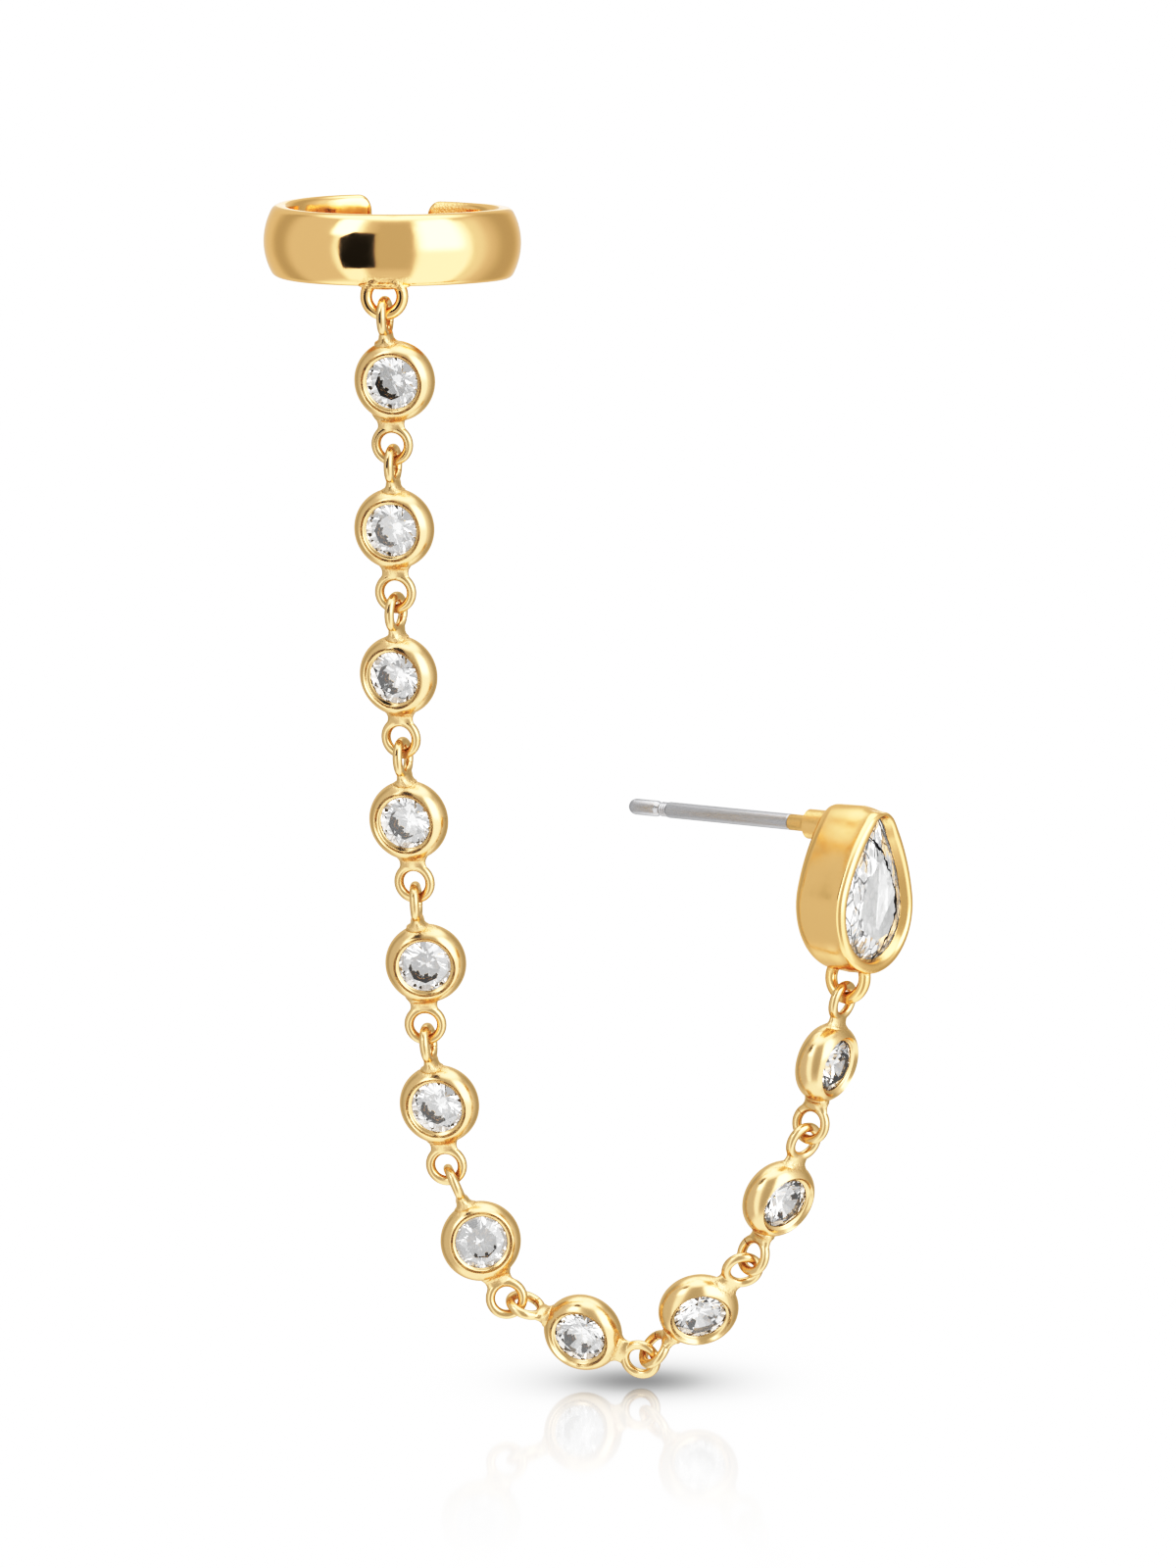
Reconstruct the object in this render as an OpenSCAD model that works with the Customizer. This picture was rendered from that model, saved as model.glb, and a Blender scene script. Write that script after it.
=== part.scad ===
// Ear chain earring: an open ear cuff, a chain of bezel-set stones and a pear stud on a post.
// Millimetres, +Z up, the side that shows when worn toward -Y. The origin is the middle of the ear cuff.

/* [Ear cuff] */
// Outside diameter of the open band
cuff_d = 12.5; // [11.5:0.5:14]
// Height of the band
cuff_h = 3.45; // [3.2:0.05:3.8]
// Thickness of the band at its middle
cuff_t = 1.2; // [1:0.1:1.4]
// Radius of the dome across the band's outer face
cuff_dome_r = 3.2; // [3:0.1:5]
// Rounding of the band's long edges
cuff_edge_r = 0.45; // [0.3:0.05:0.5]
// Width of the opening at the back of the band
cuff_gap = 3.4; // [3:0.1:4.5]
// Rounding of the four corners at the opening
cuff_corner_r = 0.65; // [0.4:0.05:0.9]
// Turn of the band about its upright axis
cuff_turn = -3; // [-10:1:10]
// Radius of the loop under the band, to the middle of its wire
cuff_loop_r = 0.87; // [0.8:0.01:0.95]
// Radius of that loop's wire
cuff_wire_r = 0.295; // [0.2:0.005:0.3]
// How far the middle of that loop lies below the middle of the band
cuff_loop_drop = 2.2; // [2.1:0.05:2.4]

/* [Links] */
// Radius of a bezel's round wall section
wall_r = 0.95; // [0.9:0.01:0.98]
// Radius of the ring on which that section is centred
wall_ring_r = 1.03; // [1:0.01:1.1]
// Radius of the crest where the bezel turns in toward the stone
crest_r = 1.52; // [1.45:0.01:1.6]
// Radius of the lip that holds the stone
lip_r = 1.27; // [1.2:0.01:1.3]
// Radius of the open hole in the back of a bezel
back_hole_r = 0.75; // [0.5:0.05:0.9]
// Radius of a link's two loops, to the middle of the wire
loop_r = 0.8; // [0.75:0.01:0.85]
// Radius of the loops' wire
wire_r = 0.235; // [0.2:0.005:0.24]
// Distance from the middle of a bezel to the middle of a loop
loop_reach = 3.12; // [3.05:0.01:3.3]
// How far a loop sits from the middle of the one that carries it
hook_drop = 0.2; // [0.17:0.01:0.2]
// How far each loop slips round to where the planes of the two loops cross
hook_slip = 0.8; // [0.8:0.05:1]

/* [Round stones] */
// Radius of a round stone at its girdle
stone_r = 1.36; // [1.3:0.01:1.37]
// Radius of its table's corners
stone_table_r = 0.78; // [0.65:0.01:0.9]
// Height of the table above the middle of the bezel
stone_table_z = 0.78; // [0.7:0.01:0.85]
// Height of the upper edge of the girdle
stone_girdle_z = 0.42; // [0.4:0.01:0.43]
// Angle of the pavilion
pavilion_angle = 40; // [38:0.5:40.5]

/* [Pear stud] */
// Unit of the pear outline: the stone's round end is 49 of them in radius, and its point stands 91 above the middle
pear_unit = 0.05; // [0.048:0.001:0.051]
// Thickness of the setting's wall around the stone
pear_wall = 0.65; // [0.55:0.01:0.7]
// Depth of the setting
pear_depth = 3; // [2.9:0.05:3.2]
// Height of the crown of the pear stone above its girdle
pear_crown = 0.5; // [0.4:0.01:0.55]
// Radius of the loop under the setting, to the middle of its wire
stud_loop_r = 0.99; // [0.95:0.01:1]
// Radius of that loop's wire
stud_wire_r = 0.26; // [0.2:0.01:0.28]
// How far the middle of that loop lies below the middle of the round end
stud_loop_drop = 3.37; // [3.3:0.01:3.5]
// Turn of the stud's face toward +X
stud_yaw = 53; // [45:1:60]
// Lean of the stud in the plane of its face
stud_roll = 7; // [0:1:10]

/* [Post] */
// Radius of the steel post
post_r = 0.4; // [0.35:0.01:0.45]
// Distance from the back of the setting to the tip of the post
post_reach = 12.3; // [10:0.1:13]
// Height of the post above the middle of the round end
post_z = 3.85; // [3.6:0.05:3.9]
// Radius of the solder cup on the back of the setting
cup_r = 0.73; // [0.6:0.01:0.75]
// Length of the solder cup
cup_l = 1.7; // [1.2:0.05:1.8]
// Length of the short sleeve between the cup and the bare post
sleeve_l = 0.87; // [0.6:0.01:1]

/* [Hidden] */
$fn = 64;

// How each link hangs, from the cuff to the stud, in degrees: its tilt from straight down toward +X, the lean of its
// stud side away from the viewer, and its turn about its own length. The last column is how far the bezel was
// soldered off the line of its two loops, in millimetres.
TILT = 0;
LEAN = 1;
TURN = 2;
SHIFT = 3;
link_pose = [
    // tilt, lean, turn, shift
    [3, 6, -13, 0.3],
    [1, 4, -15, 0],
    [2, 7, -24, 0],
    [5, 6, -19, 0],
    [4, 9, -5, 0.25],
    [8, 7, -14, 0.1],
    [24, 0, 4, 0],
    [66, -10, -24, 0],
    [135, -16, -27, 0],
    [157, -7, -43, 0],
    [166, -3, -57, 0],
];
link_count = len(link_pose);

// Space between a stone and the metal around it, and between the post and its socket
stone_gap = 0.03;
post_gap = 0.02;

// Ear cuff
cuff_r = cuff_d / 2;
cuff_inner_r = cuff_r - cuff_t;
cuff_loop_ring_r = cuff_r - 0.65;
cuff_inner_edge_r = 0.3;

// Link
neck_wide = 0.62;
neck_flare = 0.86;
neck_top = 0.34;
neck_thinness = 0.5;
neck_from = 1.7;
neck_middle = 2.08;
neck_to = 2.52;

// Bezel section, as heights in front of the middle of the bezel
seat_r = stone_r + stone_gap;
stone_girdle_low = stone_girdle_z - 0.08;
crest_z = sqrt(wall_r * wall_r - pow(crest_r - wall_ring_r, 2));
lip_low_z = 0.51;
lip_top_z = 0.56;
seat_top_z = stone_girdle_z + stone_gap;
seat_low_z = stone_girdle_low - stone_gap;
seat_hole_z = seat_low_z - (seat_r - back_hole_r) * tan(pavilion_angle + 1);

// Pear outline: a round end and two long arcs, which run on from it and meet in the point. The middle of each arc
// lies beyond that of the round end on a line of slope 7 to 24, and its radius to the point has slope 21 to 20, so
// that every corner of the outline falls on a round number
pear_r = 49 * pear_unit;
pear_h = 91 * pear_unit;
pear_arc_r = 174 * pear_unit;
pear_arc_x = 120 * pear_unit;
pear_arc_y = 35 * pear_unit;
pear_arc_reach = 125 * pear_unit;
leave_way = [24, 7];
tip_way = [20, 21];
pear_leave = atan2(leave_way[1], leave_way[0]);

// Pear setting section: distances outward of the stone's outline, and heights in front of the middle of the depth
pear_back_edge_r = 1.2;
pear_front_edge_r = 0.34;
pear_lip = 0.07;
pear_girdle_z = pear_depth / 2 - 0.48;
pear_table_z = pear_girdle_z + pear_crown;
pear_lip_low_z = pear_girdle_z + 0.07;
pear_lip_top_z = pear_girdle_z + 0.12;
pear_seat_low_z = pear_girdle_z - 0.11;
pear_floor_z = 0.38 - pear_depth / 2;
pear_culet_z = pear_floor_z + 0.06;
pear_stone_girdle_low = pear_girdle_z - 0.08;
pear_table_scale = 0.6;
stud_loop_trim = 2.85;

// Post, as distances behind the back of the setting
socket_r = 0.22;
tail_r = 0.2;
socket_from = 0.6;
post_from = cup_l + sleeve_l + post_gap;
groove_from = post_reach - 2.4;
groove_to = post_reach - 1.7;

link_names = [for (i = [1 : link_count]) str("link_", i < 10 ? "0" : "", i)];
stone_names = [for (i = [1 : link_count]) str("stone_", i < 10 ? "0" : "", i)];

// Places

function unit(v) = v / norm(v);
function about_x(v, angle) = [v[0], v[1] * cos(angle) - v[2] * sin(angle), v[1] * sin(angle) + v[2] * cos(angle)];
function about_y(v, angle) = [v[0] * cos(angle) + v[2] * sin(angle), v[1], v[2] * cos(angle) - v[0] * sin(angle)];
function about_z(v, angle) = [v[0] * cos(angle) - v[1] * sin(angle), v[0] * sin(angle) + v[1] * cos(angle), v[2]];
function posed(v, pose) = about_y(about_x(about_z(v, pose[TURN]), pose[LEAN]), -pose[TILT]);

// The way a link points, from its cuff side to its stud side, and the ways that its two loops face
function way(pose) = posed([0, 0, -1], pose);
function cuff_side_face(pose) = posed([1, 0, 0], pose);
function stud_side_face(pose) = posed([0, 1, 0], pose);

cuff_loop_centre = about_z([0, -cuff_loop_ring_r, -cuff_loop_drop], cuff_turn);
stud_up = about_z(about_y([0, 0, 1], stud_roll), stud_yaw);
stud_loop_face = about_z(about_y([1, 0, 0], stud_roll), stud_yaw);

// The loop that carries piece i: its middle, the way that its own piece points, and the way that it faces
function carrier(i) = i == 0
    ? cuff_loop_centre
    : link_centre(i - 1) + loop_reach * way(link_pose[i - 1]);
function carrier_way(i) = i == 0 ? [0, 0, -1] : way(link_pose[i - 1]);
function carrier_face(i) = i == 0 ? about_z([0, 1, 0], cuff_turn) : stud_side_face(link_pose[i - 1]);

// The middle of piece i. Its loop hangs in its carrier, slipped round to where the planes of the two loops cross
function slipped(along, crossing) = unit((1 - hook_slip) * along + hook_slip * crossing);
function hung(i, next_way, next_face, ring, reach) =
    let (
        line = unit(cross(carrier_face(i), next_face)),
        crossing = line * next_way < 0 ? -line : line
    )
    carrier(i)
        + hook_drop * slipped(unit(carrier_way(i) + next_way), crossing)
        + ring * slipped(next_way, crossing)
        + reach * next_way;
function link_centre(i) = hung(i, way(link_pose[i]), cuff_side_face(link_pose[i]), loop_r, loop_reach);
stud_centre = hung(link_count, stud_up, stud_loop_face, stud_loop_r, stud_loop_drop);

module place_link(i) {
    pose = link_pose[i];
    translate(link_centre(i))
        rotate([0, -pose[TILT], 0])
            rotate([pose[LEAN], 0, 0])
                rotate([0, 0, pose[TURN]])
                    children();
}

module place_stud() {
    translate(stud_centre)
        rotate([0, 0, stud_yaw])
            rotate([0, stud_roll, 0])
                children();
}

// A solid of revolution about the way that a face looks, toward -Y
module face_forward() {
    rotate([90, 0, 0]) children();
}

module wire_loop(ring, wire) {
    rotate_extrude() translate([ring, 0]) circle(r = wire);
}

// Points on an arc around a centre, from one angle to another
function arc(centre, radius, from, to, steps) = [
    for (k = [0 : steps]) centre + radius * [cos(from + (to - from) * k / steps), sin(from + (to - from) * k / steps)]
];

// Ear cuff

cuff_dome_x = cuff_r - cuff_dome_r;
cuff_corner_z = cuff_h / 2 - cuff_edge_r;
cuff_corner_x = cuff_dome_x + sqrt(pow(cuff_dome_r - cuff_edge_r, 2) - pow(cuff_corner_z, 2));
cuff_dome_angle = asin(cuff_corner_z / (cuff_dome_r - cuff_edge_r));

function cuff_section() = concat(
    arc([cuff_dome_x, 0], cuff_dome_r, -cuff_dome_angle, cuff_dome_angle, 12),
    arc([cuff_corner_x, cuff_corner_z], cuff_edge_r, cuff_dome_angle + 12, 90, 5),
    arc([cuff_inner_r + cuff_inner_edge_r, cuff_h / 2 - cuff_inner_edge_r], cuff_inner_edge_r, 90, 180, 4),
    arc([cuff_inner_r + cuff_inner_edge_r, cuff_inner_edge_r - cuff_h / 2], cuff_inner_edge_r, 180, 270, 4),
    arc([cuff_corner_x, -cuff_corner_z], cuff_edge_r, 270, 348 - cuff_dome_angle, 5)
);

// Cuts the corner off one end of the band. The round is set a little outside the two edges, so it meets both cleanly
module corner_cut(side, end) {
    inset = cuff_corner_r - 0.04;
    block = 2 * cuff_corner_r;
    translate([end * (cuff_gap / 2 + inset), cuff_r, side * (cuff_h / 2 - inset)])
        difference() {
            translate([-end * block / 2, 0, side * block / 2]) cube([block, cuff_r, block], center = true);
            rotate([90, 0, 0]) cylinder(r = cuff_corner_r, h = 2 * cuff_r, center = true);
        }
}

module band() {
    difference() {
        rotate_extrude() polygon(cuff_section());
        translate([-cuff_gap / 2, 0, -cuff_h]) cube([cuff_gap, cuff_d, 2 * cuff_h]);
        for (side = [-1, 1]) for (end = [-1, 1]) corner_cut(side, end);
    }
}

module ear_cuff() {
    color("gold")
    rotate([0, 0, cuff_turn])
        union() {
            band();
            translate([0, -cuff_loop_ring_r, -cuff_loop_drop])
                face_forward() wire_loop(cuff_loop_r, cuff_wire_r);
        }
}

// Links

// The bezel's round wall, cut by the stone's seat, the lip and the bevel that runs up to the crest
module bezel() {
    bevel_run = crest_r - lip_r;
    bevel_rise = crest_z - lip_top_z;
    face_forward()
        rotate_extrude()
            difference() {
                translate([wall_ring_r, 0]) circle(r = wall_r);
                polygon([
                    [0, -2 * wall_r],
                    [back_hole_r, -2 * wall_r],
                    [back_hole_r, seat_hole_z],
                    [seat_r, seat_low_z],
                    [seat_r, seat_top_z],
                    [lip_r, lip_low_z],
                    [lip_r, lip_top_z],
                    [crest_r + bevel_run, crest_z + bevel_rise],
                    [0, 2 * wall_r]
                ]);
            }
}

// Solder between the bezel and a loop, wide in the plane of the loop
module neck() {
    scale([1, neck_thinness, 1]) {
        translate([0, 0, neck_from]) cylinder(r1 = neck_flare, r2 = neck_wide, h = neck_middle - neck_from);
        translate([0, 0, neck_middle]) cylinder(r1 = neck_wide, r2 = neck_top, h = neck_to - neck_middle);
    }
}

module soldered_loop() {
    neck();
    translate([0, 0, loop_reach]) face_forward() wire_loop(loop_r, wire_r);
}

module link(i) {
    color("gold")
    place_link(i)
        union() {
            translate([link_pose[i][SHIFT], 0, 0]) bezel();
            rotate([0, 0, 90]) soldered_loop();
            rotate([0, 180, 0]) soldered_loop();
        }
}

// Stones: a table, a ring of corners halfway down the crown, a girdle, the same below, and the pavilion's point

function pear_edge(angle) =
    let (rise = asin(sin(angle)))
    rise <= pear_leave
        ? pear_r
        : sqrt(pow(pear_arc_r, 2) - pow(pear_arc_reach * sin(rise - pear_leave), 2))
            - pear_arc_reach * cos(rise - pear_leave);
function polar(radius, angle) = [radius * cos(angle), radius * sin(angle)];
function raised(points, z) = [for (p = points) [p[0], p[1], z]];

// Facets between the rings of a brilliant: 8 table corners, 8 crown corners, 16 girdle corners above and below,
// 8 pavilion corners, then the point
function brilliant_faces() = concat(
    [[for (k = [7 : -1 : 0]) k]],
    [for (k = [0 : 7]) [k, (k + 1) % 8, 8 + k]],
    [for (k = [0 : 7]) [k, 8 + k, 16 + 2 * k]],
    [for (k = [0 : 7]) [k, 16 + 2 * k, 8 + (k + 7) % 8]],
    [for (k = [0 : 7]) [8 + k, 16 + 2 * k + 1, 16 + 2 * k]],
    [for (k = [0 : 7]) [8 + k, 16 + (2 * k + 2) % 16, 16 + 2 * k + 1]],
    [for (k = [0 : 15]) [16 + k, 16 + (k + 1) % 16, 32 + (k + 1) % 16]],
    [for (k = [0 : 15]) [16 + k, 32 + (k + 1) % 16, 32 + k]],
    [for (k = [0 : 7]) [48 + k, 32 + 2 * k, 32 + 2 * k + 1]],
    [for (k = [0 : 7]) [48 + k, 32 + 2 * k + 1, 32 + (2 * k + 2) % 16]],
    [for (k = [0 : 7]) [56, 32 + 2 * k, 48 + k]],
    [for (k = [0 : 7]) [56, 48 + (k + 7) % 8, 32 + 2 * k]]
);

crown_corner = 0.8;
pavilion_corner = 0.24;
half_step = 22.5;

module round_stone() {
    table_z = stone_table_z - stone_girdle_z;
    depth = stone_r * tan(pavilion_angle);
    crown_r = crown_corner * stone_r;
    crown_z = table_z * (stone_r - crown_r * cos(half_step)) / (stone_r - stone_table_r);
    pavilion_r = pavilion_corner * stone_r;
    pavilion_z = -depth * (1 - pavilion_corner * cos(half_step));
    face_forward()
        polyhedron(
            points = concat(
                raised([for (k = [0 : 7]) polar(stone_table_r, 45 * k)], stone_table_z),
                raised([for (k = [0 : 7]) polar(crown_r, 45 * k + half_step)], stone_girdle_z + crown_z),
                raised([for (k = [0 : 15]) polar(stone_r, half_step * k)], stone_girdle_z),
                raised([for (k = [0 : 15]) polar(stone_r, half_step * k)], stone_girdle_low),
                raised([for (k = [0 : 7]) polar(pavilion_r, 45 * k + half_step)], stone_girdle_low + pavilion_z),
                [[0, 0, stone_girdle_low - depth]]
            ),
            faces = brilliant_faces()
        );
}

module stone(i) {
    color("white")
    place_link(i)
        translate([link_pose[i][SHIFT], 0, 0]) round_stone();
}

// A ring of corners on the pear outline, scaled toward the middle of the round end
function pear_ring(count, from, part) = [
    for (k = [0 : count - 1])
        let (angle = from + 360 * k / count)
        polar(part * pear_edge(angle), angle)
];

module pear_stone() {
    table_z = pear_table_z - pear_girdle_z;
    crown_z = table_z * (1 - crown_corner * cos(half_step)) / (1 - pear_table_scale);
    depth = pear_stone_girdle_low - pear_culet_z;
    color("white")
    place_stud()
        face_forward()
            polyhedron(
                points = concat(
                    raised(pear_ring(8, 0, pear_table_scale), pear_table_z),
                    raised(pear_ring(8, half_step, crown_corner), pear_girdle_z + crown_z),
                    raised(pear_ring(16, 0, 1), pear_girdle_z),
                    raised(pear_ring(16, 0, 1), pear_stone_girdle_low),
                    raised(
                        pear_ring(8, half_step, pavilion_corner),
                        pear_stone_girdle_low - depth * (1 - pavilion_corner * cos(half_step))
                    ),
                    [[0, 0, pear_culet_z]]
                ),
                faces = brilliant_faces()
            );
}

// Pear setting

// Half section of the setting: back, rounded back edge, side wall, rounded crest, bevel, lip, seat and floor
function pear_section() = concat(
    [[-pear_r, -pear_depth / 2]],
    arc([pear_wall - pear_back_edge_r, pear_back_edge_r - pear_depth / 2], pear_back_edge_r, 270, 360, 10),
    arc([pear_wall - pear_front_edge_r, pear_depth / 2 - pear_front_edge_r], pear_front_edge_r, 0, 120, 10),
    [
        [-pear_lip, pear_lip_top_z],
        [-pear_lip, pear_lip_low_z],
        [stone_gap, pear_girdle_z + stone_gap],
        [stone_gap, pear_seat_low_z],
        [-pear_r, pear_floor_z]
    ]
);

// Turns a section that stands at a radius, without what lies past the axis
module turned(radius) {
    rotate_extrude()
        intersection() {
            translate([radius, 0]) children();
            translate([0, -pear_depth]) square([2 * pear_arc_r, 2 * pear_depth]);
        }
}

// A tall block over a flat outline, which cuts a turned solid to its own stretch of the pear outline
module stretch(points) {
    translate([0, 0, -pear_depth]) linear_extrude(2 * pear_depth) polygon(points);
}

// The setting's wall and floor: the round end, the two long arcs and the corner at the point
module pear_cup() {
    arc_middle = [-pear_arc_x, -pear_arc_y];
    point = [0, pear_h];
    far = 30;
    difference() {
        turned(pear_r) polygon(pear_section());
        stretch([[0, 0], leave_way, [far, far], [-far, far], [-leave_way[0], leave_way[1]]]);
    }
    for (side = [0, 1])
        mirror([side, 0, 0])
            intersection() {
                translate(arc_middle) turned(pear_arc_r) polygon(pear_section());
                stretch([arc_middle, arc_middle + leave_way, arc_middle + tip_way]);
            }
    intersection() {
        translate(point)
            turned(0) polygon(pear_section());
        stretch([point, point + tip_way, point + [-tip_way[0], tip_way[1]]]);
    }
}

// Solder cup and sleeve on the back, with the socket that the post's tail sits in
module post_socket() {
    dome_r = 1.1;
    cup_sunk = 0.7;
    difference() {
        union() {
            intersection() {
                translate([0, 0, -cup_sunk]) cylinder(r = cup_r, h = cup_l + cup_sunk);
                translate([0, 0, cup_l - dome_r]) sphere(r = dome_r);
            }
            translate([0, 0, -cup_sunk]) cylinder(r = cup_r, h = cup_sunk + 0.8);
            cylinder(r1 = post_r + 0.03, r2 = post_r, h = cup_l + sleeve_l);
        }
        translate([0, 0, socket_from]) cylinder(r = socket_r, h = cup_l + sleeve_l);
    }
}

// Puts a solid that stands on z = 0 on the back of the setting, pointing away from the face
module behind_setting() {
    translate([0, pear_depth / 2, post_z]) rotate([-90, 0, 0]) children();
}

module stud_loop() {
    difference() {
        translate([0, 0, -stud_loop_drop]) rotate([0, 90, 0]) wire_loop(stud_loop_r, stud_wire_r);
        translate([-pear_r, -pear_r, -stud_loop_trim]) cube(2 * pear_r);
    }
}

module stud_setting() {
    color("gold")
    place_stud()
        union() {
            face_forward() pear_cup();
            stud_loop();
            behind_setting() post_socket();
        }
}

// Post

function post_section() = concat(
    [
        [0, socket_from + post_gap],
        [tail_r, socket_from + post_gap],
        [tail_r, post_from],
        [post_r, post_from],
        [post_r, groove_from],
        [0.8 * post_r, groove_from + 0.14],
        [0.82 * post_r, groove_from + 0.26],
        [0.92 * post_r, groove_from + 0.33],
        [0.8 * post_r, groove_from + 0.4],
        [0.92 * post_r, groove_from + 0.47],
        [0.8 * post_r, groove_from + 0.54],
        [post_r, groove_to]
    ],
    arc([0, post_reach - post_r], post_r, 0, 90, 8)
);

module ear_post() {
    color("silver")
    place_stud()
        behind_setting()
            rotate_extrude() polygon(post_section());
}

ear_cuff();
for (i = [0 : link_count - 1]) link(i);
for (i = [0 : link_count - 1]) stone(i);
stud_setting();
pear_stone();
ear_post();
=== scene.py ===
"""An ear chain earring: an open ear cuff, a chain of bezel-set stones and a pear stud on a post."""

import math

import bmesh
import bpy
from mathutils import Matrix, Vector


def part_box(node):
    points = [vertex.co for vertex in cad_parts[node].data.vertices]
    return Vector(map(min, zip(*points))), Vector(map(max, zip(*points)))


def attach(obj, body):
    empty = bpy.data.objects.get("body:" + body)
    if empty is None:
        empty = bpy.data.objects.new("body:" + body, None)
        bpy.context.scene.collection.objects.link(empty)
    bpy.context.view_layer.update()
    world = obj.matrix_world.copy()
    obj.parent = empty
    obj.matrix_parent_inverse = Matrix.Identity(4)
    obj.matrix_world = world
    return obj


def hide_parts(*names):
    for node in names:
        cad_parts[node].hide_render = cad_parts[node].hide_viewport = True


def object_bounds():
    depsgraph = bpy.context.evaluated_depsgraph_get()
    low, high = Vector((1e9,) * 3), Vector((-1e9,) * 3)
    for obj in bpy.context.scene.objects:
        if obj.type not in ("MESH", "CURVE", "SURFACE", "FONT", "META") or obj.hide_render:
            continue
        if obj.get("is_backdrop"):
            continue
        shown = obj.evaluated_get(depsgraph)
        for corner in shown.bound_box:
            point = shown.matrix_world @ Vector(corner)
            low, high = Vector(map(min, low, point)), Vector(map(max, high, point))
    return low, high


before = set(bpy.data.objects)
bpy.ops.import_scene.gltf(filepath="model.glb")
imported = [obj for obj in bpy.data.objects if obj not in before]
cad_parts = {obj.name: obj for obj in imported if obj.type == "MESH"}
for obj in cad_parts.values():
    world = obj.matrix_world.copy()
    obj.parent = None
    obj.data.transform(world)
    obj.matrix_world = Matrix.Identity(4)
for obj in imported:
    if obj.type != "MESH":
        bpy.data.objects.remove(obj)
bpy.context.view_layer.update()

bl_info = {
    "name": "Ear chain earring",
    "version": (1, 0, 0),
    "blender": (4, 5, 0),
    "location": "View3D > Sidebar > Ear chain",
    "description": "Models an ear cuff, a chain of bezel-set stones and a pear stud, and their stage",
    "category": "Object",
}

MM = 0.001
ALONG_Y = (0, 1, 0)
ALONG_Z = (0, 0, 1)
# Vertices of one piece that are nearer to each other than this count as one
TOUCHING = 0.001 * MM
# What makes a move or a resize fade with the distance along the mesh
SOFTLY = {
    "use_proportional_edit": True,
    "use_proportional_connected": True,
    "proportional_edit_falloff": "SMOOTH",
}

# How each link hangs, from the cuff to the stud: tilt from straight down toward +X, lean of its stud side
# away from the viewer and turn about its own length, in degrees, then how far its bezel sits off the line
# of its loops, in mm
TILT, LEAN, TURN, SHIFT = range(4)
LINK_POSES = (
    # tilt, lean, turn, shift
    (3, 6, -13, 0.3),
    (1, 4, -15, 0),
    (2, 7, -24, 0),
    (5, 6, -19, 0),
    (4, 9, -5, 0.25),
    (8, 7, -14, 0.1),
    (24, 0, 4, 0),
    (66, -10, -24, 0),
    (135, -16, -27, 0),
    (157, -7, -43, 0),
    (166, -3, -57, 0),
)


def length(label, description, default):
    """A length whose default is given in mm."""
    return bpy.props.FloatProperty(
        name=label, description=description, default=default * MM, unit="LENGTH", precision=5
    )


def angle(label, description, default):
    """An angle whose default is given in degrees."""
    return bpy.props.FloatProperty(
        name=label, description=description, default=math.radians(default), unit="ROTATION"
    )


def share(label, description, default):
    return bpy.props.FloatProperty(name=label, description=description, default=default, min=0, max=1)


def colour(label, description, default):
    return bpy.props.FloatVectorProperty(
        name=label, description=description, default=default, subtype="COLOR", size=3, min=0, max=1
    )


class EarCuffSizes(bpy.types.PropertyGroup):
    outer_radius: length("Outer radius", "Radius of the band at the top of its dome", 6.25)
    height: length("Height", "Height of the band", 3.45)
    thickness: length("Thickness", "Thickness of the band at its middle", 1.2)
    dome_radius: length("Dome radius", "Radius of the dome across the band", 3.2)
    edge_radius: length("Edge radius", "Rounding of the outer long edges", 0.45)
    inner_edge_radius: length("Inner edge radius", "Rounding of the inner long edges", 0.3)
    gap: length("Gap", "Width of the opening at the back", 3.4)
    end_radius: length("End radius", "Rounding of the corners at the opening", 0.65)
    end_offset: length("End offset", "How far each end is sprung up or down", 0.16)
    turn: angle("Turn", "Turn of the band about its upright axis", -3)
    loop_radius: length("Loop radius", "Radius of the loop, to the middle of its wire", 0.87)
    loop_wire: length("Loop wire", "Radius of the loop's wire", 0.295)
    loop_ring: length("Loop ring", "Distance of the loop from the band's axis", 5.6)
    loop_drop: length("Loop drop", "How far the loop's middle lies below the band's", 2.2)


class LinkSizes(bpy.types.PropertyGroup):
    wall_radius: length("Wall radius", "Radius of the bezel's round wall section", 0.95)
    wall_ring: length("Wall ring", "Radius of the ring on which that section is centred", 1.03)
    crest_radius: length("Crest radius", "Radius of the crest where the bezel turns in", 1.53)
    lip_radius: length("Lip radius", "Radius of the lip on the stone", 1.265)
    seat_radius: length("Seat radius", "Radius of the seat for the stone", 1.39)
    back_hole: length("Back hole", "Radius of the open hole in the back", 0.75)
    loop_radius: length("Loop radius", "Radius of a loop, to the middle of its wire", 0.8)
    wire: length("Wire", "Radius of the loops' wire", 0.235)
    reach: length("Reach", "Distance from the bezel's middle to a loop's", 3.12)
    hook_drop: length("Hook drop", "How far a loop sits from the one that carries it", 0.2)
    hook_slip: share("Hook slip", "How far loops slip to where their planes cross", 0.8)
    seam: length("Seam", "Width of the cut in a cuff-side loop", 0.035)


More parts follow.
